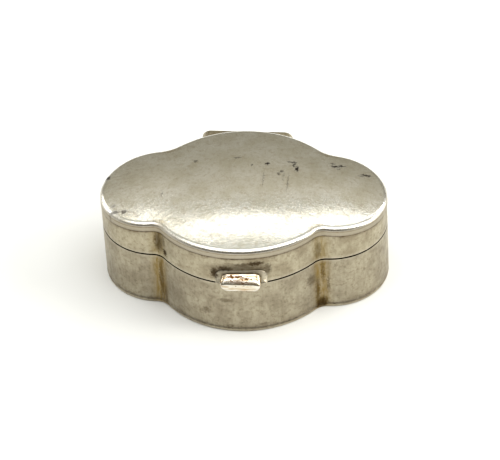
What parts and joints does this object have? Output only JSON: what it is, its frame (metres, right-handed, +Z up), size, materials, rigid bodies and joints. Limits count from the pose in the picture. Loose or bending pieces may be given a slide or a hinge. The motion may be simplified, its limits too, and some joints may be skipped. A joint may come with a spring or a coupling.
{
  "type": "pill box",
  "caption": "Small four-lobed silver pill box with a gently domed lid, a polished thumbpiece at the front and a knuckle hinge behind the back lobe.",
  "frame": {"origin": "on the surface that the box stands on, under the middle of the two side lobes", "axes": "+Z up, +X from side lobe to side lobe, -Y towards the front, where the thumbpiece is"},
  "size_m": [0.038, 0.0272, 0.0153],
  "materials": {
    "satin_silver": "hand-brushed satin silver with light scratches and brown tarnish in the hollows",
    "polished_silver": "polished silver",
    "inner_silver": "dull silver as left by the file, lightly tarnished"
  },
  "bodies": {
    "base": {"base_floor": "satin_silver", "base_band": "satin_silver", "inner_bezel": "inner_silver", "base_hinge_bearer": "satin_silver", "hinge_knuckle_1": "inner_silver", "hinge_knuckle_3": "inner_silver", "hinge_knuckle_5": "inner_silver", "hinge_pin": "inner_silver"},
    "lid": {"lid_band": "satin_silver", "lid_top_plate": "satin_silver", "thumbpiece_backplate": "satin_silver", "thumbpiece": "polished_silver", "lid_hinge_bearer": "satin_silver", "hinge_knuckle_2": "inner_silver", "hinge_knuckle_4": "inner_silver"}
  },
  "joints": [
    {"name": "lid_hinge", "type": "hinge", "parent": "base", "child": "lid", "pos_m": [-0.0006, 0.0123, 0.00852], "axis": [-1, 0, 0], "range_deg": [0, 105]}
  ]
}
